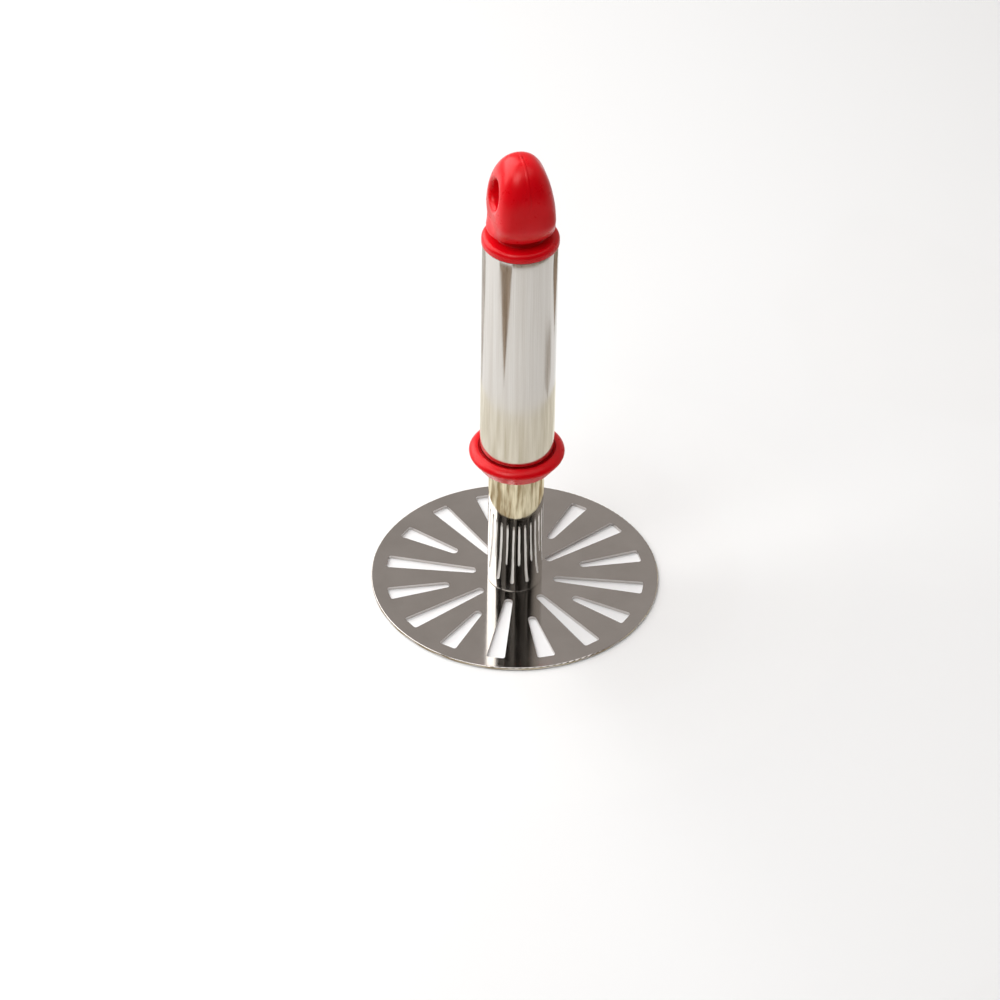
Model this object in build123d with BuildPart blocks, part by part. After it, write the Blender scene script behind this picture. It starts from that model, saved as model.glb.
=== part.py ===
from build123d import *
import os
from math import cos, pi, radians, sin

# Potato masher: a slotted steel disc on a stepped tube handle with a moulded hanging loop.
#
# A stamped disc with radial slots is riveted to a cup that is pressed into the foot of a thin shaft
# tube. A moulded collar slides over the shaft, is held by a cross pin and carries a wider grip tube.
# A moulded cap with a flange, a neck and a hanging loop is pressed into the top of the grip tube.
#
# Units are millimetres. The origin is the centre of the disc's underside, +Z runs up the handle
# and one of the disc's long slots lies along +X.

# Mashing disc
disc_radius = 50.0
disc_thickness = 1.2
disc_edge_break = 0.3
long_slot_count = 8
short_slot_count = 8
slot_outer_radius = 45.0
long_slot_inner_radius = 13.6
short_slot_inner_radius = 23.4
slot_outer_width = 6.4
slot_inner_width = 3.0
slot_corner_radius = 0.9

# Shaft tube
shaft_radius = 19.05 / 2
tube_wall = 0.8
shaft_bottom = disc_thickness
shaft_top = 86.0

# Foot cup inside the shaft, and its rivets through the disc
foot_cup_height = 9.0
foot_cup_wall = 1.0
foot_cup_floor = 1.2
foot_cup_edge = 0.5
rivet_count = 3
rivet_radius = 1.6
rivet_circle_radius = 4.4
rivet_head_radius = 2.7
rivet_head_height = 1.2
rivet_head_edge = 0.9
countersink_radius = 2.5
countersink_depth = 0.8

# Grip tube
grip_radius = 25.4 / 2
grip_bottom = 58.0
grip_top = 144.4
grip_lower_edge = 0.7
grip_upper_edge = 0.25

# Collar between the shaft and the grip
collar_bottom = 51.3
collar_clearance = 0.06
collar_foot_radius = 12.9
collar_max_radius = 15.9
collar_max_height = 55.4
collar_rim_radius = 15.4
collar_rim_height = 58.9
collar_inner_rim_radius = 13.5
collar_inner_rim_height = 58.5
collar_foot_edge = 0.6
spigot_clearance = 0.05
spigot_top = 80.0
spigot_lead_in = 0.8

# Slotted spring pin through the spigot and the shaft
pin_height = 70.0
pin_radius = 1.5
pin_wall = 0.4
pin_slit = 0.6
pin_half_length = 11.7

# Cap: plug, flange and neck
plug_length = 18.0
plug_wall = 2.4
plug_gap = 0.25
plug_lead_in = 1.0
rib_count = 6
rib_radius = 0.9
flange_radius = 13.05
flange_height = 3.3
flange_upper_edge = 1.7
flange_lower_edge = 0.5
neck_radius = 8.3
neck_height = 3.0
neck_overlap = 1.5

# Hanging loop: heights are above the loop's foot
loop_turn = 22.5  # degrees from X to the axis of the hanging hole
loop_height = 27.75
loop_shoulder_height = 6.8
loop_foot_half_width = 11.9
loop_foot_half_depth = 10.6
loop_foot_flare = 2.2
loop_shoulder_half_width = 11.0
loop_shoulder_half_depth = 12.6
loop_foot_squareness = 2.1
loop_shoulder_squareness = 3.3
loop_crown_squareness = 2.0
loop_crown_fullness = 2.36
loop_side_dish = 0.09
loop_side_dish_rise = 3.5
loop_foot_edge = 1.0
hang_hole_radius = 5.0
hang_hole_height = 14.0
hang_hole_half_land = 7.3
hang_hole_lip_radius = 2.8

shaft_bore = shaft_radius - tube_wall
grip_bore = grip_radius - tube_wall
spigot_radius = grip_bore - spigot_clearance
plug_radius = grip_bore - plug_gap
plug_bottom = grip_top - plug_length
flange_top = grip_top + flange_height
loop_bottom = flange_top + neck_height
loop_frame = Plane.XY.offset(loop_bottom).rotated((0, 0, loop_turn))
pin_plane = Plane((0, 0, pin_height), x_dir=loop_frame.y_dir, z_dir=loop_frame.x_dir)
hang_hole_axis = Axis((0, 0, loop_bottom + hang_hole_height), loop_frame.x_dir)


def slot_cutter(inner_radius):
    """A slot along X, round at its inner end, that widens to a square outer end."""
    end_radius = slot_inner_width / 2
    with BuildSketch(mode=Mode.PRIVATE) as slot:
        with BuildLine():
            sides = Polyline(
                (inner_radius + end_radius, end_radius),
                (slot_outer_radius, slot_outer_width / 2),
                (slot_outer_radius, -slot_outer_width / 2),
                (inner_radius + end_radius, -end_radius),
            )
            ThreePointArc(sides @ 1, (inner_radius, 0), sides @ 0)
        make_face()
        fillet(slot.vertices().group_by(Axis.X)[-1], slot_corner_radius)
    return slot.sketch


def between(start, end, share):
    """The value a share of the way from start to end."""
    return start + (end - start) * share


def dished_superellipse(half_width, half_depth, squareness, dish, point_count=32):
    """Points round a superellipse whose two wide sides are hollowed by a share of its half width."""
    points = []
    for index in range(point_count):
        across = cos(2 * pi * index / point_count)
        along = sin(2 * pi * index / point_count)
        depth_share = abs(along) ** (2 / squareness)
        width_share = abs(across) ** (2 / squareness) * (1 - dish * (1 - depth_share**2) ** 2)
        x = half_width * width_share * (1 if across >= 0 else -1)
        y = half_depth * depth_share * (1 if along >= 0 else -1)
        points.append((x, y))
    return points


def loop_section(height):
    """The level section of the loop's solid body at a height above its foot."""
    dish = loop_side_dish * min(1, height / loop_side_dish_rise)
    if height <= loop_shoulder_height:
        rise = height / loop_shoulder_height
        half_width = between(loop_shoulder_half_width, loop_foot_half_width, (1 - rise) ** loop_foot_flare)
        half_depth = between(loop_foot_half_depth, loop_shoulder_half_depth, sin(pi / 2 * rise))
        squareness = between(loop_foot_squareness, loop_shoulder_squareness, (1 - cos(pi * rise)) / 2)
        return dished_superellipse(half_width, half_depth, squareness, dish)
    rise = (height - loop_shoulder_height) / (loop_height - loop_shoulder_height)
    shrink = (1 - rise**loop_crown_fullness) ** (1 / loop_crown_fullness)
    half_width = loop_shoulder_half_width * shrink
    half_depth = loop_shoulder_half_depth * shrink
    squareness = between(loop_shoulder_squareness, loop_crown_squareness, rise)
    return dished_superellipse(half_width, half_depth, squareness, dish)


# Mashing disc: a flat stamping, countersunk from below for the rivets
with BuildPart() as mashing_disc:
    Cylinder(disc_radius, disc_thickness, align=(Align.CENTER, Align.CENTER, Align.MIN))
    fillet(mashing_disc.edges().filter_by(GeomType.CIRCLE), disc_edge_break)
    with BuildSketch() as long_slots:
        with PolarLocations(0, long_slot_count):
            add(slot_cutter(long_slot_inner_radius))
    with BuildSketch() as short_slots:
        with PolarLocations(0, short_slot_count, start_angle=180 / short_slot_count):
            add(slot_cutter(short_slot_inner_radius))
    extrude(amount=disc_thickness, mode=Mode.SUBTRACT)
    with PolarLocations(rivet_circle_radius, rivet_count, start_angle=loop_turn):
        Hole(rivet_radius)
        Cone(
            countersink_radius,
            rivet_radius,
            countersink_depth,
            align=(Align.CENTER, Align.CENTER, Align.MIN),
            mode=Mode.SUBTRACT,
        )

# Foot cup: a drawn cup, open upward, that fills the lower end of the shaft
with BuildPart() as foot_cup:
    with BuildSketch(Plane.XY.offset(disc_thickness)):
        Circle(shaft_bore)
    extrude(amount=foot_cup_height)
    fillet(foot_cup.edges().group_by(Axis.Z)[0], foot_cup_edge)
    with BuildSketch(Plane.XY.offset(disc_thickness + foot_cup_floor)):
        Circle(shaft_bore - foot_cup_wall)
    extrude(amount=foot_cup_height, mode=Mode.SUBTRACT)
    with PolarLocations(rivet_circle_radius, rivet_count, start_angle=loop_turn):
        Hole(rivet_radius)

# Rivets: flush under the disc, with low round heads inside the cup
with BuildPart() as disc_rivets:
    rivet_grip = disc_thickness + foot_cup_floor
    upright = (Align.CENTER, Align.CENTER, Align.MIN)
    with PolarLocations(rivet_circle_radius, rivet_count, start_angle=loop_turn):
        Cylinder(rivet_radius, rivet_grip, align=upright)
        Cone(countersink_radius, rivet_radius, countersink_depth, align=upright)
        with Locations((0, 0, rivet_grip)):
            Cylinder(rivet_head_radius, rivet_head_height, align=upright)
    fillet(disc_rivets.edges().group_by(Axis.Z)[-1], rivet_head_edge)

# Shaft tube: it stands on the disc, wraps the cup and ends inside the grip
with BuildPart() as shaft_tube:
    with BuildSketch(Plane.XY.offset(shaft_bottom)):
        Circle(shaft_radius)
        Circle(shaft_bore, mode=Mode.SUBTRACT)
    extrude(amount=shaft_top - shaft_bottom)
    with BuildSketch(pin_plane):
        Circle(pin_radius)
    extrude(amount=shaft_radius, both=True, mode=Mode.SUBTRACT)

# Grip tube: a wider tube with its lower edge rolled in
with BuildPart() as grip_tube:
    with BuildSketch(Plane.XY.offset(grip_bottom)):
        Circle(grip_radius)
    extrude(amount=grip_top - grip_bottom)
    fillet(grip_tube.edges().group_by(Axis.Z)[0], grip_lower_edge)
    fillet(grip_tube.edges().group_by(Axis.Z)[-1], grip_upper_edge)
    with Locations((0, 0, grip_bottom)):
        Hole(grip_bore)

# Collar: a rounded guard ring with a long spigot inside the grip
with BuildPart() as collar:
    collar_bore = shaft_radius + collar_clearance
    with BuildSketch(Plane.XZ):
        with BuildLine():
            flank = Polyline(
                (collar_bore, spigot_top),
                (collar_bore, collar_bottom),
                (collar_foot_radius, collar_bottom),
                (collar_max_radius, collar_max_height),
            )
            rim = TangentArc(flank @ 1, (collar_rim_radius, collar_rim_height), tangent=flank % 1)
            Polyline(
                rim @ 1,
                (collar_inner_rim_radius, collar_inner_rim_height),
                (collar_inner_rim_radius, grip_bottom),
                (spigot_radius, grip_bottom),
                (spigot_radius, spigot_top),
                (collar_bore, spigot_top),
            )
        make_face()
    revolve(axis=Axis.Z)
    fillet(collar.edges().group_by(Axis.Z)[0].sort_by(SortBy.RADIUS)[-1], collar_foot_edge)
    chamfer(collar.edges().group_by(Axis.Z)[-1].sort_by(SortBy.RADIUS)[-1], spigot_lead_in)
    with BuildSketch(pin_plane):
        Circle(pin_radius)
    extrude(amount=spigot_radius, both=True, mode=Mode.SUBTRACT)

# Collar pin: a slotted spring pin that carries the push from the collar to the shaft
with BuildPart() as collar_pin:
    with BuildSketch(pin_plane):
        Circle(pin_radius)
        Circle(pin_radius - pin_wall, mode=Mode.SUBTRACT)
        with Locations((0, pin_radius)):
            Rectangle(pin_slit, 2 * pin_radius, mode=Mode.SUBTRACT)
    extrude(amount=pin_half_length, both=True)

# Loop cap: one moulding with a ribbed hollow plug, a flange, a waisted neck and the hanging loop
with BuildPart() as loop_cap:
    dome = loop_height - loop_shoulder_height
    leg_heights = [loop_shoulder_height * step / 5 for step in range(6)]
    dome_heights = [loop_shoulder_height + dome * sin(radians(angle)) for angle in (16, 31, 45, 58, 70, 80)]
    for height in leg_heights + dome_heights:
        with BuildSketch(loop_frame.offset(height)):
            with BuildLine():
                Spline(loop_section(height), periodic=True)
            make_face()
    loft()
    fillet(loop_cap.edges().group_by(Axis.Z)[0], loop_foot_edge)

    with BuildSketch(Plane(hang_hole_axis.position, x_dir=loop_frame.x_dir, z_dir=-loop_frame.y_dir)):
        with BuildLine():
            flare_start = (hang_hole_half_land, hang_hole_radius)
            flare_end = (flare_start[0] + hang_hole_lip_radius, flare_start[1] + hang_hole_lip_radius)
            beyond = (flare_end[0] + loop_foot_half_width, flare_end[1] + loop_foot_half_width)
            lip = RadiusArc(flare_start, flare_end, hang_hole_lip_radius)
            Polyline(lip @ 1, beyond, (beyond[0], 0), (0, 0), (0, hang_hole_radius), lip @ 0)
            mirror(about=Plane.YZ)
        make_face()
    revolve(axis=hang_hole_axis, mode=Mode.SUBTRACT)

    with BuildSketch(Plane.XZ) as cap_profile:
        with BuildLine():
            Polyline(
                (0, grip_top),
                (plug_radius - plug_wall, grip_top),
                (plug_radius - plug_wall, plug_bottom),
                (plug_radius, plug_bottom),
                (plug_radius, grip_top),
                (flange_radius, grip_top),
                (flange_radius, flange_top),
                (neck_radius, flange_top),
                (neck_radius, loop_bottom + neck_overlap),
                (0, loop_bottom + neck_overlap),
                close=True,
            )
        make_face()
        flange_corners = cap_profile.vertices().group_by(Axis.X)[-1].sort_by(Axis.Y)
        fillet(flange_corners[0], flange_lower_edge)
        fillet(flange_corners[-1], flange_upper_edge)
    revolve(axis=Axis.Z)
    chamfer(loop_cap.edges().group_by(Axis.Z)[0].sort_by(SortBy.RADIUS)[-1], plug_lead_in)
    with BuildSketch(Plane.XY.offset(plug_bottom + plug_lead_in)):
        with PolarLocations(grip_bore - rib_radius, rib_count):
            Circle(rib_radius)
    extrude(amount=plug_length - plug_lead_in)

pieces = {
    "mashing_disc": mashing_disc,
    "foot_cup": foot_cup,
    "disc_rivets": disc_rivets,
    "shaft_tube": shaft_tube,
    "grip_tube": grip_tube,
    "collar": collar,
    "collar_pin": collar_pin,
    "loop_cap": loop_cap,
}
os.makedirs("parts", exist_ok=True)
for name, piece in pieces.items():
    piece.part.label = name
    export_step(piece.part, f"parts/{name}.step")
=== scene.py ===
from math import atan2, cos, pi, radians, sin

import bmesh
import bpy
from mathutils import Matrix, Vector


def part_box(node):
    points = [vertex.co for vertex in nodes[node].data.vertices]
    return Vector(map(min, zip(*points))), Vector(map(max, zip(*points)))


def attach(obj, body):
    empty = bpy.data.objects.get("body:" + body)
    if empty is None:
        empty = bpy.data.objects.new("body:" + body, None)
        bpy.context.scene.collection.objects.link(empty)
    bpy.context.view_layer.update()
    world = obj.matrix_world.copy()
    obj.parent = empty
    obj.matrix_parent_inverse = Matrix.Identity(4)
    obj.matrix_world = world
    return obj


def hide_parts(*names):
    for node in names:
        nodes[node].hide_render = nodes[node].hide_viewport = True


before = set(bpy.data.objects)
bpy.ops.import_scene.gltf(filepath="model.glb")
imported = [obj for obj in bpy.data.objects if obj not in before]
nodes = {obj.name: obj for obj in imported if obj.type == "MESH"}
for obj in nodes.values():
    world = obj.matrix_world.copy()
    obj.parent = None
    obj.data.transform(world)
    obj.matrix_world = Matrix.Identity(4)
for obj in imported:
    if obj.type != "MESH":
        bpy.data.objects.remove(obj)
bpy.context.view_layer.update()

# Looks for the potato masher: smooth meshes for the handle, procedural finishes, floor, lights, camera.
# Everything is in metres in the CAD model's frame. Profiles are in millimetres and are scaled by MM.
# The origin is the centre of the disc's underside, and +Z runs up the handle.

MM = 0.001
LOOP_TURN = radians(22.5)  # from +X to the axis of the hanging hole

scene = bpy.context.scene


def top_of(node):
    """Height of a CAD node's highest point, in millimetres."""
    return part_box(node)[1][2] / MM


def bottom_of(node):
    """Height of a CAD node's lowest point, in millimetres."""
    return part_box(node)[0][2] / MM


def radius_of(node):
    """Outer radius of a round CAD node, in millimetres."""
    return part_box(node)[1][0] / MM


# ---------------------------------------------------------------- meshes

TURN_STEPS = 256  # sides of a turned piece
WELD = 0.0005  # vertices closer than this, in millimetres, are one


def add_mesh(name, vertices, faces, material, node, slot):
    """A smooth-shaded mesh that stands for one CAD node."""
    mesh = bpy.data.meshes.new(name)
    mesh.from_pydata(vertices, [], faces)
    shape = bmesh.new()
    shape.from_mesh(mesh)
    bmesh.ops.remove_doubles(shape, verts=shape.verts, dist=WELD * MM)
    bmesh.ops.recalc_face_normals(shape, faces=shape.faces)
    shape.to_mesh(mesh)
    shape.free()
    mesh.shade_smooth()
    mesh.materials.append(material)
    piece = bpy.data.objects.new(name, mesh)
    scene.collection.objects.link(piece)
    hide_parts(node)
    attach(piece, "root")


def arc(centre, radius, start, end, steps=10):
    """Points in millimetres along an arc between two angles in degrees."""
    points = []
    for step in range(steps + 1):
        angle = radians(start + (end - start) * step / steps)
        points.append((centre[0] + radius * cos(angle), centre[1] + radius * sin(angle)))
    return points


def ring_faces(rows, columns):
    """Quads of a grid that closes on itself both ways."""
    faces = []
    for row in range(rows):
        for column in range(columns):
            next_row = (row + 1) % rows
            next_column = (column + 1) % columns
            faces.append((
                row * columns + column,
                next_row * columns + column,
                next_row * columns + next_column,
                row * columns + next_column,
            ))
    return faces


def lathe(profile):
    """Vertices and quads of a closed (radius, height) profile in millimetres turned about Z."""
    vertices = []
    for index in range(TURN_STEPS):
        angle = 2 * pi * index / TURN_STEPS
        for radius, height in profile:
            vertices.append((radius * cos(angle) * MM, radius * sin(angle) * MM, height * MM))
    return vertices, ring_faces(TURN_STEPS, len(profile))


def run(start, end, step):
    """Evenly spaced points from start to end, both included, about a step apart."""
    length = (Vector(end) - Vector(start)).length
    count = max(1, round(length / step))
    return [tuple(Vector(start).lerp(Vector(end), index / count)) for index in range(count + 1)]


# ---------------------------------------------------------------- material helpers


class Graph:
    """A small helper that adds and links the nodes of one material."""

    def __init__(self, name):
        self.material = bpy.data.materials.new(name)
        self.material.use_nodes = True
        self.tree = self.material.node_tree
        self.tree.nodes.clear()
        self.shader = self.add("ShaderNodeBsdfPrincipled")
        output = self.add("ShaderNodeOutputMaterial")
        self.tree.links.new(self.shader.outputs["BSDF"], output.inputs["Surface"])
        self.place = self.add("ShaderNodeTexCoord").outputs["Object"]

    def add(self, kind, settings=None, **inputs):
        """A node with its own settings, and its input sockets set or linked by name."""
        node = self.tree.nodes.new(kind)
        for key, value in (settings or {}).items():
            setattr(node, key, value)
        for key, value in inputs.items():
            self.put(node.inputs[key.replace("_", " ")], value)
        return node

    def put(self, socket, value):
        """Sets a socket to a plain value, or links it to another node's output."""
        if isinstance(value, bpy.types.NodeSocket):
            self.tree.links.new(value, socket)
        else:
            socket.default_value = value

    def surface(self, **inputs):
        """Sets the sockets of the principled shader."""
        for key, value in inputs.items():
            self.put(self.shader.inputs[key.replace("_", " ")], value)

    def stretch(self, scale, turn=0.0):
        """Object coordinates, turned about Z and scaled along each axis, per millimetre."""
        about_z = {"rotation_type": "Z_AXIS"}
        turned = self.add("ShaderNodeVectorRotate", about_z, Vector=self.place, Angle=-turn)
        per_metre = tuple(value / MM for value in scale)
        scaled = self.add("ShaderNodeVectorMath", {"operation": "MULTIPLY"})
        self.put(scaled.inputs[0], turned.outputs["Vector"])
        scaled.inputs[1].default_value = per_metre
        return scaled.outputs["Vector"]

    def noise(self, scale, detail=3.0, roughness=0.55, turn=0.0):
        """Noise from 0 to 1 whose features are 1 / scale millimetres long on each axis."""
        node = self.add(
            "ShaderNodeTexNoise",
            Vector=self.stretch(scale, turn),
            Scale=1.0,
            Detail=detail,
            Roughness=roughness,
        )
        return node.outputs["Fac"]

    def spread(self, value, low, high, to_low, to_high):
        """A value carried from one range to another, held at both ends."""
        node = self.add(
            "ShaderNodeMapRange",
            {"clamp": True},
            Value=value,
            From_Min=low,
            From_Max=high,
            To_Min=to_low,
            To_Max=to_high,
        )
        return node.outputs["Result"]

    def math(self, operation, first, second=0.0):
        """One arithmetic step."""
        node = self.add("ShaderNodeMath", {"operation": operation})
        self.put(node.inputs[0], first)
        self.put(node.inputs[1], second)
        return node.outputs["Value"]

    def mix(self, share, first, second):
        """A colour a share of the way from first to second."""
        node = self.add("ShaderNodeMix", {"data_type": "RGBA"})
        self.put(node.inputs["Factor"], share)
        self.put(node.inputs[6], first)
        self.put(node.inputs[7], second)
        return node.outputs[2]

    def bump(self, height, depth_mm, under=None):
        """A bump of a real depth in millimetres, laid over another bump."""
        node = self.add("ShaderNodeBump", Height=height, Distance=depth_mm * MM, Strength=1.0)
        if under is not None:
            self.put(node.inputs["Normal"], under)
        return node.outputs["Normal"]


# ---------------------------------------------------------------- materials

PARTING_END = 163.0  # the height in millimetres where the loop's parting line has faded out
PARTING_FADE = 4.0  # the millimetres over which it fades


def red_plastic(name, parting_line):
    """Glossy moulded red plastic with flow marks, fine scuffs and, on the loop, a parting line."""
    deep, bright = (0.66, 0.0003, 0.005, 1), (0.78, 0.0006, 0.008, 1)
    scuffed, gate_shade = (0.80, 0.06, 0.06, 1), (0.30, 0.0, 0.004, 1)
    flow_depth, grain_depth, ridge_depth, gate_depth = 0.12, 0.0022, 0.10, 0.16
    ridge_middle, ridge_edge, wander = 0.10, 0.55, 0.1
    g = Graph(name)
    flow = g.noise((0.09, 0.09, 0.05), detail=2.0, turn=LOOP_TURN)
    grain = g.noise((2.2, 2.2, 2.2), detail=2.0)
    scuffs = g.noise((0.35, 0.35, 0.35), detail=6.0, roughness=0.7)
    colour = g.mix(g.spread(flow, 0.3, 0.7, 0.0, 1.0), deep, bright)
    colour = g.mix(g.spread(scuffs, 0.6, 0.8, 0.0, 0.05), colour, scuffed)
    bump = g.bump(grain, grain_depth, g.bump(flow, flow_depth))
    if parting_line:
        place = g.add("ShaderNodeSeparateXYZ", Vector=g.stretch((1, 1, 1), LOOP_TURN))
        offset = g.math("ADD", place.outputs["X"], g.spread(flow, 0.3, 0.7, -wander, wander))
        away = g.math("ABSOLUTE", offset)
        above = g.spread(place.outputs["Z"], PARTING_END, PARTING_END + PARTING_FADE, 0.0, 1.0)
        ridge = g.math("MULTIPLY", g.spread(away, ridge_middle, ridge_edge, 1.0, 0.0), above)
        gate = g.math("MULTIPLY", gate_mark(g, place), above)
        bump = g.bump(gate, gate_depth, g.bump(ridge, ridge_depth, bump))
        colour = g.mix(g.math("MULTIPLY", gate, 0.5), colour, gate_shade)
    roughness = g.spread(scuffs, 0.35, 0.8, 0.27, 0.32)
    g.surface(Base_Color=colour, Roughness=roughness, Normal=bump, IOR=1.5)
    g.surface(Specular_Tint=(1.0, 0.48, 0.46, 1))
    g.surface(Subsurface_Weight=0.08, Subsurface_Radius=(1.0, 0.12, 0.08), Subsurface_Scale=1.6 * MM)
    return g.material


def gate_mark(g, place):
    """Height of the mould's gate mark on the crown: a low nub in a sunk ring, from 0.3 to -0.7."""
    nub_middle, nub_edge = 0.25, 0.45
    ring_middle, ring_edge, ring_depth = 0.7, 1.2, 0.7
    squared = g.math("POWER", g.math("ABSOLUTE", place.outputs["X"]), 2.0)
    squared = g.math("ADD", squared, g.math("POWER", g.math("ABSOLUTE", place.outputs["Y"]), 2.0))
    away = g.math("SQRT", squared)
    nub = g.spread(away, nub_middle, nub_edge, 1.0, 0.0)
    return g.math("SUBTRACT", nub, g.spread(away, ring_middle, ring_edge, ring_depth, 0.0))


def shaft_steel():
    """Mirror-polished stainless tube: long faint draw lines and a slightly uneven wall."""
    dull, bright = (0.55, 0.53, 0.49, 1), (0.76, 0.745, 0.71, 1)
    wave_depth, ripple_depth, line_depth = 0.13, 0.022, 0.003
    g = Graph("mirror_polished_steel")
    lines = g.noise((4.0, 4.0, 0.03), detail=4.0, roughness=0.65)
    wave = g.noise((0.22, 0.22, 0.012), detail=1.0)
    ripple = g.noise((0.9, 0.9, 0.05), detail=2.0)
    smudge = g.noise((0.11, 0.11, 0.07), detail=3.0)
    haze = g.spread(smudge, 0.45, 0.75, 0.025, 0.07)
    bump = g.bump(ripple, ripple_depth, g.bump(wave, wave_depth))
    g.surface(
        Base_Color=g.mix(g.spread(lines, 0.3, 0.7, 0.0, 1.0), dull, bright),
        Metallic=1.0,
        Roughness=g.math("ADD", haze, g.spread(lines, 0.4, 0.7, 0.0, 0.03)),
        Normal=g.bump(lines, line_depth, bump),
    )
    return g.material


def grip_steel():
    """Bright-polished stainless tube with lengthwise polishing lines, and brownish lengthwise bands of
    painted reflection in its colour.
    """
    dull, bright, painted_reflection_brown = (0.58, 0.55, 0.51, 1), (0.72, 0.705, 0.675, 1), (0.50, 0.46, 0.41, 1)
    wave_depth, line_depth = 0.09, 0.005
    g = Graph("satin_polished_steel")
    lines = g.noise((3.4, 3.4, 0.02), detail=5.0, roughness=0.7)
    wave = g.noise((0.16, 0.16, 0.008), detail=1.0)
    bands = g.noise((0.45, 0.45, 0.012), detail=2.0)
    smudge = g.noise((0.08, 0.08, 0.05), detail=3.0)
    streaks = g.mix(g.spread(lines, 0.3, 0.7, 0.0, 1.0), dull, bright)
    haze = g.spread(smudge, 0.4, 0.75, 0.07, 0.13)
    g.surface(
        # Brownish lengthwise bands darken the colour: painted reflection streaks of dark surroundings,
        # not a tone of the steel.
        Base_Color=g.mix(g.spread(bands, 0.35, 0.7, 0.0, 0.45), streaks, painted_reflection_brown),
        Metallic=1.0,
        Roughness=g.math("ADD", haze, g.spread(lines, 0.35, 0.7, 0.0, 0.06)),
        Normal=g.bump(lines, line_depth, g.bump(wave, wave_depth)),
    )
    return g.material


def disc_steel():
    """Rolled stainless sheet: fine rolling lines, light scratches and a dull haze from use."""
    dull, bright = (0.54, 0.51, 0.49, 1), (0.60, 0.57, 0.55, 1)
    rolling_turn, scratch_turn = radians(8), radians(-31)
    rolling_depth, scratch_depth = 0.002, 0.002
    g = Graph("rolled_disc_steel")
    rolling = g.noise((0.05, 6.0, 6.0), detail=4.0, roughness=0.6, turn=rolling_turn)
    scratches = g.noise((2.6, 0.07, 1.0), detail=6.0, roughness=0.75, turn=scratch_turn)
    patches = g.noise((0.06, 0.06, 0.06), detail=4.0, roughness=0.6)
    haze = g.spread(patches, 0.35, 0.7, 0.06, 0.11)
    scratched = g.spread(scratches, 0.68, 0.78, 0.0, 1.0)
    g.surface(
        Base_Color=g.mix(g.spread(patches, 0.3, 0.7, 0.0, 1.0), dull, bright),
        Metallic=1.0,
        Roughness=g.math("ADD", haze, g.spread(rolling, 0.4, 0.7, 0.0, 0.03)),
        Normal=g.bump(scratched, scratch_depth, g.bump(rolling, rolling_depth)),
    )
    return g.material


def plain_steel():
    """Plain drawn stainless for the cup, the rivets and the pin."""
    dull, bright = (0.46, 0.45, 0.43, 1), (0.62, 0.61, 0.60, 1)
    grain_depth = 0.012
    g = Graph("plain_steel")
    grain = g.noise((2.4, 2.4, 2.4), detail=4.0)
    patches = g.noise((0.4, 0.4, 0.4), detail=3.0)
    g.surface(
        Base_Color=g.mix(patches, dull, bright),
        Metallic=1.0,
        Roughness=g.spread(grain, 0.3, 0.7, 0.26, 0.42),
        Normal=g.bump(grain, grain_depth),
    )
    return g.material


LOOP_RED = red_plastic("red_plastic_loop", parting_line=True)
COLLAR_RED = red_plastic("red_plastic_collar", parting_line=False)
SHAFT_STEEL = shaft_steel()
GRIP_STEEL = grip_steel()
DISC_STEEL = disc_steel()
PLAIN_STEEL = plain_steel()


def repaint(node, material):
    """Gives a carried-over CAD node a procedural finish."""
    mesh = nodes[node].data
    mesh.materials.clear()
    mesh.materials.append(material)


for inner_piece in ("foot_cup", "disc_rivets", "collar_pin"):
    repaint(inner_piece, PLAIN_STEEL)
repaint("mashing_disc", DISC_STEEL)

SHEARED_EDGE = 0.16  # the width in millimetres of the disc's worn edges
SHARP_ANGLE = radians(50)  # edges that turn less than this stay as they are
disc_edges = nodes["mashing_disc"].modifiers.new("sheared_edges", "BEVEL")
disc_edges.width = SHEARED_EDGE * MM
disc_edges.segments = 2
disc_edges.limit_method = "ANGLE"
disc_edges.angle_limit = SHARP_ANGLE


# ---------------------------------------------------------------- tubes


WALL = 0.8


def tube(name, node, material, slot, lower_edge, upper_edge):
    """A thin tube with rounded ends, in place of a CAD tube."""
    outer_step, bore_step = 4.0, 8.0
    radius, low, high = radius_of(node), bottom_of(node), top_of(node)
    bore = radius - WALL
    profile = arc((radius - lower_edge, low + lower_edge), lower_edge, -90, 0)
    profile += run((radius, low + lower_edge), (radius, high - upper_edge), outer_step)[1:-1]
    profile += arc((radius - upper_edge, high - upper_edge), upper_edge, 0, 90, 6)
    profile += run((bore, high), (bore, low), bore_step)
    add_mesh(name, *lathe(profile), material, node, slot)


tube("polished_shaft", "shaft_tube", SHAFT_STEEL, "shaft_steel", lower_edge=0.3, upper_edge=0.15)
tube("satin_grip", "grip_tube", GRIP_STEEL, "grip_steel", lower_edge=0.75, upper_edge=0.25)


# ---------------------------------------------------------------- collar


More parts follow.
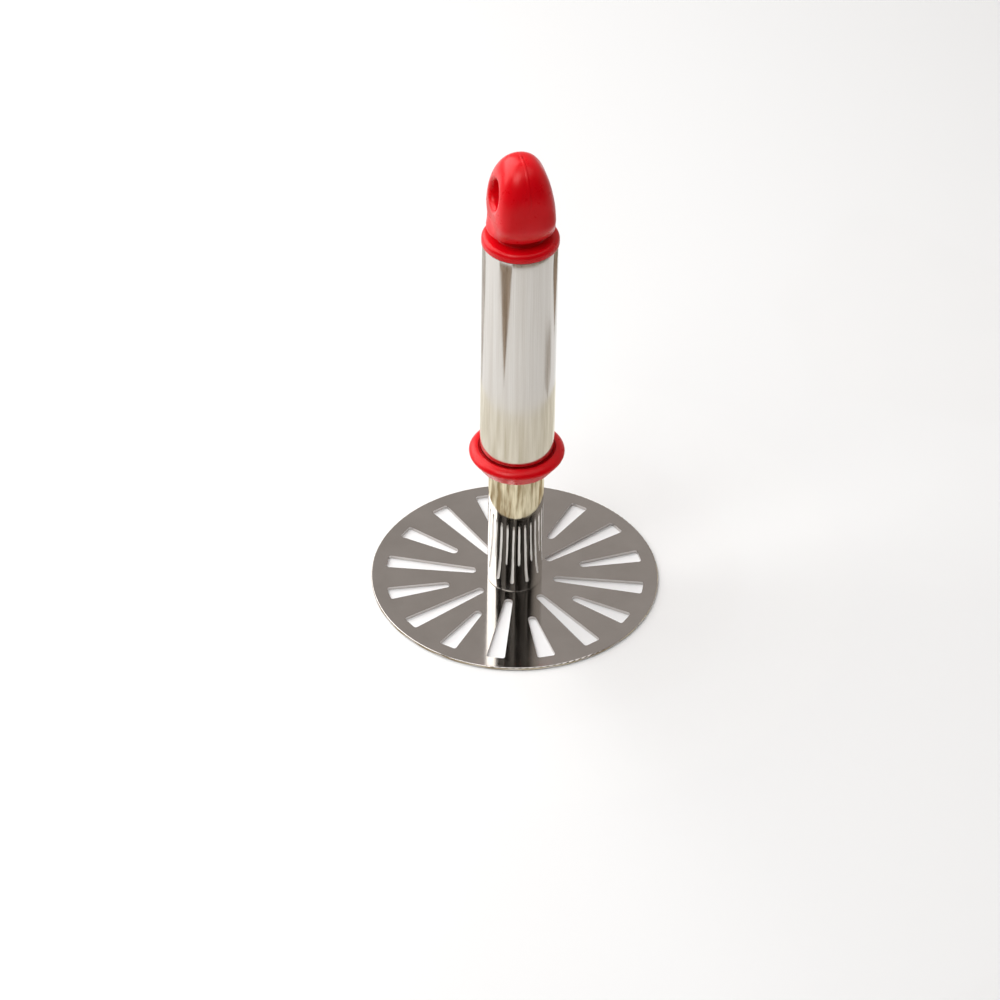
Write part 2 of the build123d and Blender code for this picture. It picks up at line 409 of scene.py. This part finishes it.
def collar():
    """The guard ring: a conical flank up to a round rim, a domed top, and a recess round the grip."""
    shaft_gap, grip_gap = 0.06, 0.05
    bore_edge, foot_centre, foot_edge = 0.4, 12.4, 0.7
    rim_radius, rim_drop, dome_radius = 1.0, 1.25, 3.2
    flank_tilt, dome_join, dome_end = 32, 35, 97
    recess, recess_lip_centre, recess_lip, recess_lip_sink = 13.1, 13.6, 0.3, 0.32
    spigot_chamfer, spigot_step, bore_step = 0.8, 4.0, 5.0
    bore = radius_of("shaft_tube") + shaft_gap
    spigot = radius_of("grip_tube") - WALL - grip_gap
    foot = bottom_of("collar")
    seat = bottom_of("grip_tube")
    spigot_top = top_of("collar")
    rim = (radius_of("collar") - rim_radius, seat - rim_drop)
    away = dome_radius - rim_radius
    dome = (rim[0] - away * cos(radians(dome_join)), rim[1] - away * sin(radians(dome_join)))
    profile = [(bore, foot + bore_edge)]
    profile += arc((bore + bore_edge, foot + bore_edge), bore_edge, 180, 270, 4)
    profile += arc((foot_centre, foot + foot_edge), foot_edge, 270, 360 - flank_tilt, 6)
    profile += arc(rim, rim_radius, -flank_tilt, dome_join, 12)
    profile += arc(dome, dome_radius, dome_join, dome_end, 14)[1:]
    profile += arc((recess_lip_centre, profile[-1][1] - recess_lip_sink), recess_lip, 80, 180, 6)
    profile += [(recess, seat), (spigot, seat)]
    profile += run((spigot, seat), (spigot, spigot_top - spigot_chamfer), spigot_step)[1:]
    profile += [(spigot - spigot_chamfer, spigot_top), (bore, spigot_top)]
    profile += run((bore, spigot_top), (bore, foot + bore_edge), bore_step)[1:-1]
    add_mesh("collar_moulding", *lathe(profile), COLLAR_RED, "collar", "red_plastic")


collar()


# ---------------------------------------------------------------- loop cap

# The loop's own frame: x along the hanging hole, y across it, z up from the loop's foot
LOOP_FOOT = 150.7
LOOP_HEIGHT = top_of("loop_cap") - LOOP_FOOT
SHOULDER_HEIGHT = 6.8
FOOT_HALF_WIDTH = 11.9
FOOT_HALF_DEPTH = 10.6
FOOT_FLARE = 2.2
SHOULDER_HALF_WIDTH = 11.0
SHOULDER_HALF_DEPTH = 12.6
# A squareness of 2 is an ellipse, and a higher one is closer to a rectangle
FOOT_SQUARENESS = 2.1
SHOULDER_SQUARENESS = 3.3
CROWN_SQUARENESS = 2.0
CROWN_FULLNESS = 2.36
SIDE_DISH = 0.09  # the share of the width that the loop's sides are hollowed by
SIDE_DISH_RISE = 3.5
FOOT_EDGE = 1.0
HOLE_RADIUS = 5.0
HOLE_HEIGHT = 14.0
HOLE_LIP = 1.8


def between(start, end, share):
    """The value a share of the way from start to end."""
    return start + (end - start) * share


def loop_limits(height):
    """Half width, half depth and squareness of the loop's level section."""
    if height <= SHOULDER_HEIGHT:
        rise = height / SHOULDER_HEIGHT
        half_width = between(SHOULDER_HALF_WIDTH, FOOT_HALF_WIDTH, (1 - rise) ** FOOT_FLARE)
        half_depth = between(FOOT_HALF_DEPTH, SHOULDER_HALF_DEPTH, sin(pi / 2 * rise))
        squareness = between(FOOT_SQUARENESS, SHOULDER_SQUARENESS, (1 - cos(pi * rise)) / 2)
        if height < FOOT_EDGE:
            inset = FOOT_EDGE - (FOOT_EDGE**2 - (FOOT_EDGE - height) ** 2) ** 0.5
            half_width -= inset
            half_depth -= inset
        return half_width, half_depth, squareness
    rise = min(1.0, (height - SHOULDER_HEIGHT) / (LOOP_HEIGHT - SHOULDER_HEIGHT))
    shrink = (1 - rise**CROWN_FULLNESS) ** (1 / CROWN_FULLNESS)
    squareness = between(SHOULDER_SQUARENESS, CROWN_SQUARENESS, rise)
    return SHOULDER_HALF_WIDTH * shrink, SHOULDER_HALF_DEPTH * shrink, squareness


def loop_half_thickness(across, height):
    """Half the loop's width along the hanging hole, with the hole's lips rounded."""
    half_width, half_depth, squareness = loop_limits(height)
    share = min(1.0, abs(across) / half_depth) if half_depth > 0 else 1.0
    dish = SIDE_DISH * min(1.0, height / SIDE_DISH_RISE) * (1 - share**2) ** 2
    thickness = half_width * max(0.0, 1 - share**squareness) ** (1 / squareness) * (1 - dish)
    from_wall = ((across**2 + (height - HOLE_HEIGHT) ** 2) ** 0.5) - HOLE_RADIUS
    if from_wall < HOLE_LIP:
        reach = HOLE_LIP - max(0.0, from_wall)
        thickness -= HOLE_LIP - (HOLE_LIP**2 - reach**2) ** 0.5
    return max(0.0, thickness)


def loop_outline():
    """The loop's outline seen along the hanging hole, anticlockwise from the middle of its foot."""
    foot_steps, edge_steps, leg_steps, crown_steps = 12, 8, 20, 44
    foot_depth = loop_limits(0)[1]
    foot = [(between(0, foot_depth, step / foot_steps), 0.0) for step in range(foot_steps)]
    edge = [FOOT_EDGE * (1 - cos(pi / 2 * step / edge_steps)) for step in range(edge_steps)]
    leg = [between(FOOT_EDGE, SHOULDER_HEIGHT, step / leg_steps) for step in range(leg_steps)]
    side = [(loop_limits(height)[1], height) for height in edge + leg]
    for step in range(crown_steps + 1):
        turn = pi / 2 * step / crown_steps
        rise = sin(turn) ** (2 / CROWN_FULLNESS)
        height = between(SHOULDER_HEIGHT, LOOP_HEIGHT, rise)
        side.append((loop_limits(height)[1], height))
    half = foot + side
    return half + [(-across, height) for across, height in reversed(half[1:-1])]


def across_width(edge, steps):
    """Points strictly between a point on one side of the loop and its mirror image on the other."""
    half_width, across, height = edge
    return [(half_width * (1 - 2 * step / steps), across, height) for step in range(1, steps)]


def loop_mesh():
    """The hanging loop as one ring of sections that run from the hole's wall out to the outline."""
    side_steps, foot_steps, wall_steps = 44, 8, 12
    vertices = []
    outline = loop_outline()
    for across, height in outline:
        angle = atan2(height - HOLE_HEIGHT, across)
        inner = Vector((HOLE_RADIUS * cos(angle), HOLE_HEIGHT + HOLE_RADIUS * sin(angle)))
        outer = Vector((across, height))
        side = []
        for step in range(side_steps + 1):
            place = inner.lerp(outer, (1 - cos(pi * step / side_steps)) / 2)
            side.append((loop_half_thickness(place.x, place.y), place.x, place.y))
        far_side = [(-x, y, z) for x, y, z in reversed(side)]
        under = across_width(side[-1], foot_steps)
        wall = across_width(far_side[-1], wall_steps)
        vertices += side + under + far_side + wall
    columns = len(vertices) // len(outline)
    place = Matrix.Translation((0, 0, LOOP_FOOT * MM)) @ Matrix.Rotation(LOOP_TURN, 4, "Z")
    placed = [tuple(place @ (Vector(vertex) * MM)) for vertex in vertices]
    return placed, ring_faces(len(outline), columns)


def cap_base_mesh():
    """The plug, the flange with its fat upper edge, and the waisted neck under the loop."""
    flange, flange_height, upper_edge, lower_edge = 13.05, 3.3, 1.75, 0.5
    neck, root, neck_sink, neck_step = 8.3, 0.7, 0.5, 0.6
    plug_gap, plug_wall, plug_chamfer = 0.25, 2.4, 1.0
    seat = top_of("grip_tube")
    shoulder = seat + flange_height
    plug = radius_of("grip_tube") - WALL - plug_gap
    plug_end = bottom_of("loop_cap")
    profile = [(0, LOOP_FOOT + neck_sink), (neck, LOOP_FOOT + neck_sink)]
    profile += run((neck, LOOP_FOOT), (neck, shoulder + root), neck_step)
    profile += arc((neck + root, shoulder + root), root, 180, 270, 6)[1:]
    profile += arc((flange - upper_edge, shoulder - upper_edge), upper_edge, 90, 0, 12)
    profile += arc((flange - lower_edge, seat + lower_edge), lower_edge, 0, -90, 6)
    profile += [(plug, seat), (plug, plug_end + plug_chamfer), (plug - plug_chamfer, plug_end)]
    profile += [(plug - plug_wall, plug_end), (plug - plug_wall, seat), (0, seat)]
    return lathe(profile)


def loop_cap():
    """The red end cap, one moulding."""
    vertices, faces = cap_base_mesh()
    loop_vertices, loop_faces = loop_mesh()
    first = len(vertices)
    vertices += loop_vertices
    faces += [tuple(first + corner for corner in face) for face in loop_faces]
    add_mesh("loop_cap_moulding", vertices, faces, LOOP_RED, "loop_cap", "red_plastic")


loop_cap()


# ---------------------------------------------------------------- floor, lights and camera

CAMERA_AZIMUTH = 8.0
CAMERA_ELEVATION = 38.9
CAMERA_DISTANCE = 1.70
CAMERA_ROLL = 0.85
CAMERA_LENS = 180
CAMERA_SENSOR = 36
VIEW_HEIGHT = 0.0712  # the point on the tool's axis that the picture's centre is set off from
PICTURE_DROP = 0.0286
PICTURE_LEFT = 0.0055
LIT_HEIGHT = 0.08  # the point on the tool's axis that the lights are turned to


def direction(azimuth, elevation):
    """Unit vector from the object towards a place at that azimuth and elevation in degrees."""
    a, e = radians(azimuth), radians(elevation)
    return Vector((sin(a) * cos(e), -cos(a) * cos(e), sin(e)))


def aim(obj, target, roll=0.0):
    """Turns a light or a camera at its place towards a target, then rolls it about its view."""
    look = (target - obj.location).to_track_quat("-Z", "Y").to_matrix()
    obj.rotation_euler = (look @ Matrix.Rotation(roll, 3, "Z")).to_euler()


def softbox(name, side, elevation, distance, width, height, power):
    """A rectangular area light, some degrees to the side of the camera, turned to the handle."""
    light = bpy.data.lights.new(name, "AREA")
    light.shape = "RECTANGLE"
    light.size = width
    light.size_y = height
    light.energy = power
    lamp = bpy.data.objects.new(name, light)
    scene.collection.objects.link(lamp)
    lamp.location = direction(CAMERA_AZIMUTH + side, elevation) * distance
    aim(lamp, Vector((0, 0, LIT_HEIGHT)))


softbox("window_left", side=-121, elevation=42, distance=1.0, width=1.1, height=0.95, power=9.6)
softbox("front_left", side=-40, elevation=60, distance=1.1, width=0.5, height=0.5, power=4.0)
softbox("top", side=60, elevation=80, distance=1.2, width=0.9, height=0.9, power=2.8)


def studio_world():
    """A grey-brown room that is dark on the camera's side, with soft upright bands there."""
    room_colour = (0.43, 0.40, 0.375, 1)
    dark_colour, band_colour = (0.012, 0.010, 0.008, 1), (0.21, 0.198, 0.186, 1)
    side_fade, band_fade, band_scale = (-0.2, 0.3), (0.48, 0.65), (5.0, 5.0, 0.6)
    world = bpy.data.worlds.new("studio")
    world.use_nodes = True
    tree = world.node_tree
    place = tree.nodes.new("ShaderNodeTexCoord").outputs["Generated"]
    toward = tree.nodes.new("ShaderNodeVectorMath")
    toward.operation = "DOT_PRODUCT"
    toward.inputs[1].default_value = direction(CAMERA_AZIMUTH, 0)
    dark_side = tree.nodes.new("ShaderNodeMapRange")
    dark_side.inputs["From Min"].default_value = side_fade[0]
    dark_side.inputs["From Max"].default_value = side_fade[1]
    flat = tree.nodes.new("ShaderNodeVectorMath")
    flat.operation = "MULTIPLY"
    flat.inputs[1].default_value = band_scale
    bands = tree.nodes.new("ShaderNodeTexNoise")
    bands.inputs["Scale"].default_value = 1.0
    bands.inputs["Detail"].default_value = 1.0
    band_share = tree.nodes.new("ShaderNodeMapRange")
    band_share.inputs["From Min"].default_value = band_fade[0]
    band_share.inputs["From Max"].default_value = band_fade[1]
    front = tree.nodes.new("ShaderNodeMix")
    front.data_type = "RGBA"
    front.inputs[6].default_value = dark_colour
    front.inputs[7].default_value = band_colour
    room = tree.nodes.new("ShaderNodeMix")
    room.data_type = "RGBA"
    room.inputs[6].default_value = room_colour
    links = (
        (place, toward.inputs[0]),
        (toward.outputs["Value"], dark_side.inputs["Value"]),
        (place, flat.inputs[0]),
        (flat.outputs["Vector"], bands.inputs["Vector"]),
        (bands.outputs["Fac"], band_share.inputs["Value"]),
        (band_share.outputs["Result"], front.inputs["Factor"]),
        (dark_side.outputs["Result"], room.inputs["Factor"]),
        (front.outputs[2], room.inputs[7]),
        (room.outputs[2], tree.nodes["Background"].inputs["Color"]),
    )
    for source, target in links:
        tree.links.new(source, target)
    scene.world = world


studio_world()
scene.view_settings.view_transform = "Standard"

FLOOR_HALF = 3
floor_corners = [(x * FLOOR_HALF, y * FLOOR_HALF, 0) for x, y in ((-1, -1), (1, -1), (1, 1), (-1, 1))]
floor_mesh = bpy.data.meshes.new("floor")
floor_mesh.from_pydata(floor_corners, [], [(0, 1, 2, 3)])
floor_paint = Graph("pale_floor")
floor_paint.surface(Base_Color=(0.88, 0.885, 0.89, 1), Roughness=0.7)
floor_mesh.materials.append(floor_paint.material)
floor = bpy.data.objects.new("floor", floor_mesh)
scene.collection.objects.link(floor)

CARD_HEIGHT = 0.3  # how far above the floor the cards lie, in millimetres


def reflector(name, sides, inner, outer, colours, blotch):
    """A flat card that only reflections see: a ring sector, in degrees to the side of the camera.

    inner holds the inner radius at the sector's ends and at its middle, and blotch the size of the
    patches that the card's two colours make, all in millimetres.
    """
    steps = 24
    lift = Vector((0, 0, CARD_HEIGHT * MM))
    vertices = []
    for step in range(steps + 1):
        share = step / steps
        outward = direction(CAMERA_AZIMUTH + sides[0] + (sides[1] - sides[0]) * share, 0)
        near = inner[1] + (inner[0] - inner[1]) * abs(2 * share - 1)
        for radius in (near, outer):
            vertices.append(tuple(outward * radius * MM + lift))
    faces = [(2 * step, 2 * step + 1, 2 * step + 3, 2 * step + 2) for step in range(steps)]
    mesh = bpy.data.meshes.new(name)
    mesh.from_pydata(vertices, [], faces)
    g = Graph(name)
    patches = g.noise((1 / blotch, 1 / blotch, 1), detail=4.0, roughness=0.6)
    colour = g.mix(g.spread(patches, 0.4, 0.62, 0.0, 1.0), *colours)
    g.surface(Base_Color=colour, Roughness=0.9)
    mesh.materials.append(g.material)
    card = bpy.data.objects.new(name, mesh)
    scene.collection.objects.link(card)
    card.visible_camera = False
    card.visible_diffuse = False
    card.visible_shadow = False


WARM = ((0.36, 0.27, 0.14, 1), (0.95, 0.88, 0.66, 1))
CREAM = ((0.72, 0.68, 0.56, 1), (0.95, 0.93, 0.84, 1))
BROWN = ((0.17, 0.12, 0.08, 1), (0.42, 0.33, 0.25, 1))
GREY = ((0.40, 0.37, 0.34, 1), (0.66, 0.63, 0.60, 1))
reflector("warm_ring", (-180, 180), inner=(50.5, 50.5), outer=80, colours=WARM, blotch=18)
reflector("cream_ring", (-180, 180), inner=(80, 80), outer=118, colours=CREAM, blotch=24)
reflector("brown_wedge", (-60, -24), inner=(205, 134), outer=260, colours=BROWN, blotch=20)
reflector("brown_patch", (118, 150), inner=(190, 150), outer=260, colours=BROWN, blotch=20)
reflector("grey_patch", (86, 112), inner=(128, 118), outer=160, colours=GREY, blotch=14)
reflector("grey_side", (-170, -124), inner=(190, 90), outer=260, colours=GREY, blotch=14)
reflector("dark_front", (-22, 116), inner=(248, 248), outer=430, colours=BROWN, blotch=40)

camera_data = bpy.data.cameras.new("camera")
camera_data.sensor_width = CAMERA_SENSOR
camera_data.lens = CAMERA_LENS
camera = bpy.data.objects.new("camera", camera_data)
scene.collection.objects.link(camera)
view_back = direction(CAMERA_AZIMUTH, CAMERA_ELEVATION)
view_right = Vector((cos(radians(CAMERA_AZIMUTH)), sin(radians(CAMERA_AZIMUTH)), 0))
view_up = view_back.cross(view_right)
target = Vector((0, 0, VIEW_HEIGHT)) - view_up * PICTURE_DROP - view_right * PICTURE_LEFT
camera.location = target + view_back * CAMERA_DISTANCE
aim(camera, target, radians(CAMERA_ROLL))
scene.camera = camera
